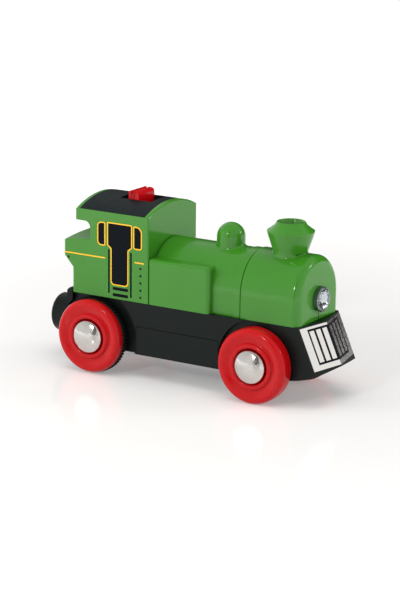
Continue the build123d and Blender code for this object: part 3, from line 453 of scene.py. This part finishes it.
# outlines as (behind the cab front, height, corner radius), anticlockwise from the lower rear corner
REAR_PANE = [(-16.6, 37.2, 1.0), (-14.55, 37.2, 0.15), (-14.55, 43.3, 0.15), (-16.6, 43.3, 1.0)]
FRONT_PANE = [(-4.55, 37.4, 0.4), (-2.35, 37.4, 0.5), (-2.35, 43.3, 1.5), (-4.55, 43.3, 0.15)]
DOOR = [(-12.1, 26.3, 0.9), (-6.8, 26.3, 0.9), (-6.8, 36.5, 0.7), (-5.6, 37.35, 0.35), (-5.6, 43.5, 0.1),
        (-13.29, 43.5, 0.1), (-13.29, 37.35, 0.35), (-12.1, 36.5, 0.7)]
# two handrails beside the door and two steps under it, as (rear, front, bottom, top)
HANDRAILS = [(-13.28, -12.74, 23.5, 36.1), (-5.91, -5.37, 23.1, 36.0)]
STEPS = [(-11.7, -6.6, mid - 0.43, mid + 0.43) for mid in (25.05, 23.25)]


def cab_print(hand, side):
    """Windows and door, their yellow lining, rails, steps and rivets on one side."""
    place = side_place(side)
    panes, lines = [], []
    for outline in (REAR_PANE, FRONT_PANE, DOOR):
        shape = rounded(outline)
        panes.append(plate(shape, place, INK))
        lines.append(plate(grown(shape, LINE), place, INK * 1.3, hole=grown(shape, 0.0)))
    for rear, front in ((-28.2, -14.3), (-4.4, -1.3)):
        lines.append(plate(box_outline(rear, front, *BELT), place, INK))
    marks = []
    for mark in HANDRAILS + STEPS:
        corners = [corner + (MARK_ROUND,) for corner in box_outline(*mark)]
        marks.append(plate(rounded(corners, 4), place, INK))
    for name, plates, ink, slot in (("panes", panes, INK_BLACK, "black_plastic"),
                                    ("lining", lines, INK_YELLOW, "green_plastic"),
                                    ("rails", marks, INK_BLACK, "black_plastic")):
        finish_piece(plates_object(f"cab_{name}_print_{hand}", plates), "chassis_body", ink, slot)
    angles = [math.tau * k / RIVET_CORNERS for k in range(RIVET_CORNERS)]
    for name, across, top, count in (("front", -2.47, 31.85, 5), ("rear", -26.77, 32.13, 1)):
        dot = [(across + math.cos(a) * RIVET_R, top + math.sin(a) * RIVET_R) for a in angles]
        rivet = plates_object(f"cab_rivet_dots_{name}_{hand}", [plate(dot, place, INK)])
        repeat(rivet, ROW, count, (0, 0, -RIVET_PITCH), INK_BLACK)
        finish_piece(rivet, "chassis_body", INK_BLACK, "black_plastic")


for hand, side in HANDS:
    cab_print(hand, side)

# ---- printed grille on the plough's foil -----------------------------------------------------------
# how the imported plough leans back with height, and sweeps back over half its width
PLOUGH_SLOPE, PLOUGH_VEE, PLOUGH_HALF = 0.443, 2.33, 11.4
FOIL_EDGE = 0.1  # from the ridge to the foil
# bright bars of the printed grille, the dark lines between them and the dark edge around
BAR, GAP, BARS, EDGE = 1.85, 0.75, 3, 0.55
GRILLE_IN, GRILLE_LOW, GRILLE_HIGH = 0.75, 12.5, 20.6


def plough_place(side):
    """Point on one face of the plough: across from the ridge, up from the ground, out along the engine."""
    toe_x, toe_z = high("grille_label").x, low("grille_label").z
    rake = math.hypot(1, PLOUGH_SLOPE)

    def place(u, v, out):
        x = toe_x - PLOUGH_SLOPE * (v - toe_z) - PLOUGH_VEE * (u - FOIL_EDGE) / PLOUGH_HALF
        return (x + out * rake, side * u, v)

    return place


def plough_print(hand, side):
    """Dark edge of the grille and the dark lines between its bars."""
    place = plough_place(side)
    inner, outer = GRILLE_IN, GRILLE_IN + BARS * BAR + (BARS - 1) * GAP
    strips = [
        box_outline(FOIL_EDGE + 0.02, inner, GRILLE_LOW - EDGE, GRILLE_HIGH + EDGE),
        box_outline(outer, outer + EDGE, GRILLE_LOW - EDGE, GRILLE_HIGH + EDGE),
        box_outline(inner, outer, GRILLE_LOW - EDGE, GRILLE_LOW),
        box_outline(inner, outer, GRILLE_HIGH, GRILLE_HIGH + EDGE),
    ]
    edge = plates_object(f"plough_frame_print_{hand}", [plate(strip, place, INK) for strip in strips])
    finish_piece(edge, "chassis_body", INK_BLACK, "black_plastic")
    line = box_outline(inner + BAR, inner + BAR + GAP, GRILLE_LOW, GRILLE_HIGH)
    slat = plates_object(f"plough_slat_print_{hand}", [plate(line, place, INK)])
    step = [b - a for a, b in zip(place(0, 0, 0), place(BAR + GAP, 0, 0))]
    repeat(slat, ROW, BARS - 1, step, INK_BLACK)
    finish_piece(slat, "chassis_body", INK_BLACK, "black_plastic")


for hand, side in HANDS:
    plough_print(hand, side)

# ---- chimney ---------------------------------------------------------------------------------------
CHIMNEY_X = (low("chimney").x + high("chimney").x) / 2
CHIMNEY_TOP = high("chimney").z
NECK_R, BORE_FLOOR, CHIMNEY_TURNS = 4.8, 41.6, 96
SMOKEBOX_R = 11.4
SMOKEBOX_Z = high("body_shell").z - 21.0  # its axis lies this far under the cab roof


def chimney_profile():
    """From the middle of the bore's floor up to the rim, over the flare and down the neck."""
    top = CHIMNEY_TOP
    bore = [(0.0, BORE_FLOOR), (3.1, BORE_FLOOR), (3.2, BORE_FLOOR + 0.5), (3.35, top - 0.4)]
    rim = arc((3.75, top - 0.3), 0.3, 120, 50, 5)
    flare = [(4.5, top - 0.95), (5.6, top - 1.85)] + arc((6.2, top - 2.68), 0.38, 52, -18, 8)
    neck = [(6.24, top - 3.9), (5.7, top - 5.5), (5.1, top - 7.2), (4.86, top - 8.0), (NECK_R, top - 8.6)]
    return bore + rim + flare + neck


# the foot's small round, as (out from the neck, above the smokebox)
CHIMNEY_FOOT = [(0.0, 0.3), (0.04, 0.16), (0.12, 0.07), (0.22, 0.02), (0.32, -0.02), (0.32, -0.5)]


def chimney():
    """Flared stack whose foot follows the smokebox's curve."""
    verts, faces, turns = [], [], CHIMNEY_TURNS
    rows = [(radius, height, False) for radius, height in chimney_profile()]
    rows += [(NECK_R + grow, rise, True) for grow, rise in CHIMNEY_FOOT]
    for radius, height, on_boiler in rows:
        for k in range(turns):
            x, y = radius * math.cos(math.tau * k / turns), radius * math.sin(math.tau * k / turns)
            z = SMOKEBOX_Z + math.sqrt(SMOKEBOX_R**2 - y**2) + height if on_boiler else height
            verts.append((CHIMNEY_X + x, y, z))
    for a in range(len(rows) - 1):
        for k in range(turns):
            j = (k + 1) % turns
            faces.append((a * turns + k, a * turns + j, (a + 1) * turns + j, (a + 1) * turns + k))
    faces.append(tuple(range((len(rows) - 1) * turns, len(rows) * turns)))
    return turn_outwards(mesh_object("flared_chimney", verts, faces, smooth=True), merge=0.001)


finish_piece(chimney(), "chassis_body", GREEN, "green_plastic", "chimney")

# ---- headlamp lens -----------------------------------------------------------------------------------
LENS_R, LENS_DOME, FACETS = 3.05, 1.28, 12
LENS_BACK, LENS_FRONT = low("headlamp_lens").x, high("headlamp_lens").x
LAMP_Z = (low("headlamp_lens").z + high("headlamp_lens").z) / 2
# rings of the dome, as (share of its height below the tip, share of its radius)
LENS_RINGS = ((1.0, 1.0), (0.55, 0.82), (0.24, 0.55), (0.06, 0.27))


def cut_lens():
    """Domed lens cut into rings of flat facets, each ring turned by half a facet."""
    rows, verts, faces = [], [(LENS_BACK, 0, LAMP_Z)], []
    rings = [(LENS_BACK, 1.0)] + [(LENS_FRONT - LENS_DOME * below, reach) for below, reach in LENS_RINGS]
    for n, (x, reach) in enumerate(rings):
        rows.append(list(range(len(verts), len(verts) + FACETS)))
        shift = 0.5 if n < 2 or n % 2 else 0.0
        for k in range(FACETS):
            angle = math.tau * (k + shift) / FACETS
            across, up = LENS_R * reach * math.cos(angle), LENS_R * reach * math.sin(angle)
            verts.append((x, across, LAMP_Z + up))
    verts.append((LENS_FRONT, 0, LAMP_Z))
    for a, b in zip(rows, rows[1:]):
        for k in range(FACETS):
            j = (k + 1) % FACETS
            faces += [(a[k], a[j], b[j]), (a[k], b[j], b[k])]
    faces += [(0, rows[0][(k + 1) % FACETS], rows[0][k]) for k in range(FACETS)]
    faces += [(len(verts) - 1, rows[-1][k], rows[-1][(k + 1) % FACETS]) for k in range(FACETS)]
    return plates_object("faceted_lamp_lens", [(verts, faces)])


finish_piece(cut_lens(), "chassis_body", CLEAR, "clear_lens", "headlamp_lens")

# ---- black sheet of painted shade in the roof slot --------------------------------------------------
# as in the imported part: travel, clearance, how much further the slot runs ahead, and the roof's rise
SWITCH_THROW, SLIDE_GAP, SLOT_AHEAD, ROOF_RISE = 2.5, 0.15, 1.85, 3.0
# the black sheet of painted shade: its thickness, its depth below the crown and its steps across the roof
SHADE_SHEET_THICK, SHADE_SHEET_DEEP = 0.05, 1.8
SHADE_SHEET_STEPS = 12


def shade_sheet_in_slot():
    """Thin black sheet on the shell's edges inside the switch's slot: painted shade that darkens the slot's
    walls.
    """
    crown, half_y = high("roof_panel").z, high("switch_button").y + SLIDE_GAP
    rear = low("switch_button").x - SWITCH_THROW - SLIDE_GAP
    front = high("switch_button").x + SWITCH_THROW + SLIDE_GAP + SLOT_AHEAD
    roof_r = (SIDE_Y**2 + ROOF_RISE**2) / (2 * ROOF_RISE)
    across = [half_y * (1 - 2 * k / SHADE_SHEET_STEPS) for k in range(SHADE_SHEET_STEPS + 1)]
    crest = [(y, crown - roof_r + math.sqrt(roof_r**2 - y**2) - SHADE_SHEET_THICK) for y in across]
    foot = crown - SHADE_SHEET_DEEP
    end = [(-half_y, foot), (half_y, foot)] + crest
    flank = box_outline(rear, front, foot, crest[0][1])
    walls = [
        plate(end, lambda u, v, out: (rear + out, u, v), SHADE_SHEET_THICK),
        plate(end, lambda u, v, out: (front - out, u, v), SHADE_SHEET_THICK),
    ]
    for side in (1, -1):
        walls.append(plate(flank, lambda u, v, out, side=side: (u, side * (half_y - out), v), SHADE_SHEET_THICK))
    return plates_object("roof_slot_painted_shade", walls)


# a black sheet paints the shade inside the roof slot
finish_piece(shade_sheet_in_slot(), "chassis_body", ROOF, "roof_black")

# ---- stage, light and camera --------------------------------------------------------------------
FLOOR_HALF = 4.0  # metres
floor_mesh = bpy.data.meshes.new("studio_floor")
floor_corners = [(x, y, 0) for x, y in box_outline(-FLOOR_HALF, FLOOR_HALF, -FLOOR_HALF, FLOOR_HALF)]
floor_mesh.from_pydata(floor_corners, [], [(0, 1, 2, 3)])
floor = bpy.data.objects.new("studio_floor", floor_mesh)
bpy.context.scene.collection.objects.link(floor)
# opal sheet under the engine: clean, with a soft mirror image
sheet = surface("white_acrylic_sheet", "#DCDAD8", 0.12, ior=1.45, mottle=0.01)
# painted light: the sheet glows, least near the engine and more away from it, so that it fades to white
paint = sheet.node_tree
spot = add(paint, "ShaderNodeTexCoord").outputs["Object"]
reach = add(paint, "ShaderNodeVectorMath", {0: spot}, operation="LENGTH")
painted_floor_glow = add(paint, "ShaderNodeMapRange", {"Value": reach.outputs["Value"]}, interpolation_type="SMOOTHSTEP",
           inputs={"From Min": 0.06, "From Max": 0.35, "To Min": 0.22, "To Max": 0.72})
sheet_shader = paint.nodes["Principled BSDF"]
sheet_shader.inputs["Emission Color"].default_value = (1, 1, 1, 1)
paint.links.new(painted_floor_glow.outputs[0], sheet_shader.inputs["Emission Strength"])
floor_mesh.materials.append(sheet)

world = bpy.data.worlds.new("studio")
bpy.context.scene.world = world
world.use_nodes = True
sky = world.node_tree
sky.nodes.clear()
toward = add(sky, "ShaderNodeSeparateXYZ", {0: add(sky, "ShaderNodeTexCoord").outputs["Generated"]})


def ramp(value, start, end, at_start, at_end, smooth=True):
    """A value taken from one range to another, held at both ends."""
    node = add(sky, "ShaderNodeMapRange", {"Value": value},
               interpolation_type="SMOOTHSTEP" if smooth else "LINEAR",
               inputs={"From Min": start, "From Max": end, "To Min": at_start, "To Max": at_end})
    return node.outputs[0]


def times(a, b):
    """Product of two values."""
    return add(sky, "ShaderNodeMath", {0: a, 1: b}, operation="MULTIPLY").outputs[0]


# a pale room that is darker behind the table and overhead
behind = ramp(toward.outputs["Y"], 0.6, 0.86, 1.0, 0.02)
overhead = ramp(toward.outputs["Z"], 0.2, 1.0, 1.0, 0.6, smooth=False)
# a dark doorway in front gives polished metal something to mirror
door_left = ramp(toward.outputs["X"], -0.1, 0.05, 0.0, 1.0)
door_right = ramp(toward.outputs["X"], 0.25, 0.4, 1.0, 0.0)
door = times(times(door_left, door_right), ramp(toward.outputs["Y"], -0.5, -0.7, 0.0, 1.0))
brightness = times(times(behind, overhead), ramp(door, 0.0, 1.0, 1.0, 0.12, smooth=False))
room = add(sky, "ShaderNodeBackground", {"Strength": brightness}, inputs={"Color": (1, 1, 1, 1)})
add(sky, "ShaderNodeOutputWorld", {"Surface": room.outputs[0]})


ENGINE_MIDDLE = (0, 0, 0.03)


def soft_box(name, place, size, power, mirrored, aim=ENGINE_MIDDLE):
    """Square area light aimed at a point; one that isn't mirrored leaves no highlight of its own."""
    light = bpy.data.lights.new(name, "AREA")
    light.shape = "RECTANGLE"
    light.size = light.size_y = size
    light.energy = power
    lamp = bpy.data.objects.new(name, light)
    lamp.location = place
    lamp.rotation_euler = (Vector(aim) - Vector(place)).to_track_quat("-Z", "Y").to_euler()
    lamp.visible_glossy = mirrored
    bpy.context.scene.collection.objects.link(lamp)


# places and sizes in metres, powers in watts
soft_box("front_lamp", (-0.05, -0.70, 0.40), 0.05, 1.1, True)
soft_box("side_lamp", (0.62, 0.40, 0.40), 0.05, 0.4, True)
soft_box("side_box", (0.66, 0.46, 0.16), 0.34, 2.3, False)
soft_box("rear_box", (-0.36, -0.30, 0.16), 0.2, 0.8, False, aim=(-0.04, 0, 0.03))
soft_box("top_box", (0.05, -0.10, 0.80), 0.7, 3.0, False)

optics = bpy.data.cameras.new("camera")
optics.lens, optics.sensor_width, optics.sensor_fit = 132.4, 36.0, "AUTO"
optics.clip_start, optics.clip_end = 0.01, 20
camera = bpy.data.objects.new("camera", optics)
bpy.context.scene.collection.objects.link(camera)
# the camera stands this far round from the right side towards the front, this far up, and leans this much
azimuth, elevation, roll = (math.radians(a) for a in (31.711, 14.604, 0.6175))
CAMERA_PLACE = Vector((315.32, -508.73, 177.77))
level = math.cos(elevation)
back = Vector((math.sin(azimuth) * level, -math.cos(azimuth) * level, math.sin(elevation)))
turn = (-back).to_track_quat("-Z", "Y").to_matrix().to_4x4() @ Matrix.Rotation(roll, 4, "Z")
camera.matrix_world = Matrix.Translation(CAMERA_PLACE * MM) @ turn
bpy.context.scene.camera = camera
bpy.context.scene.view_settings.view_transform = "Standard"
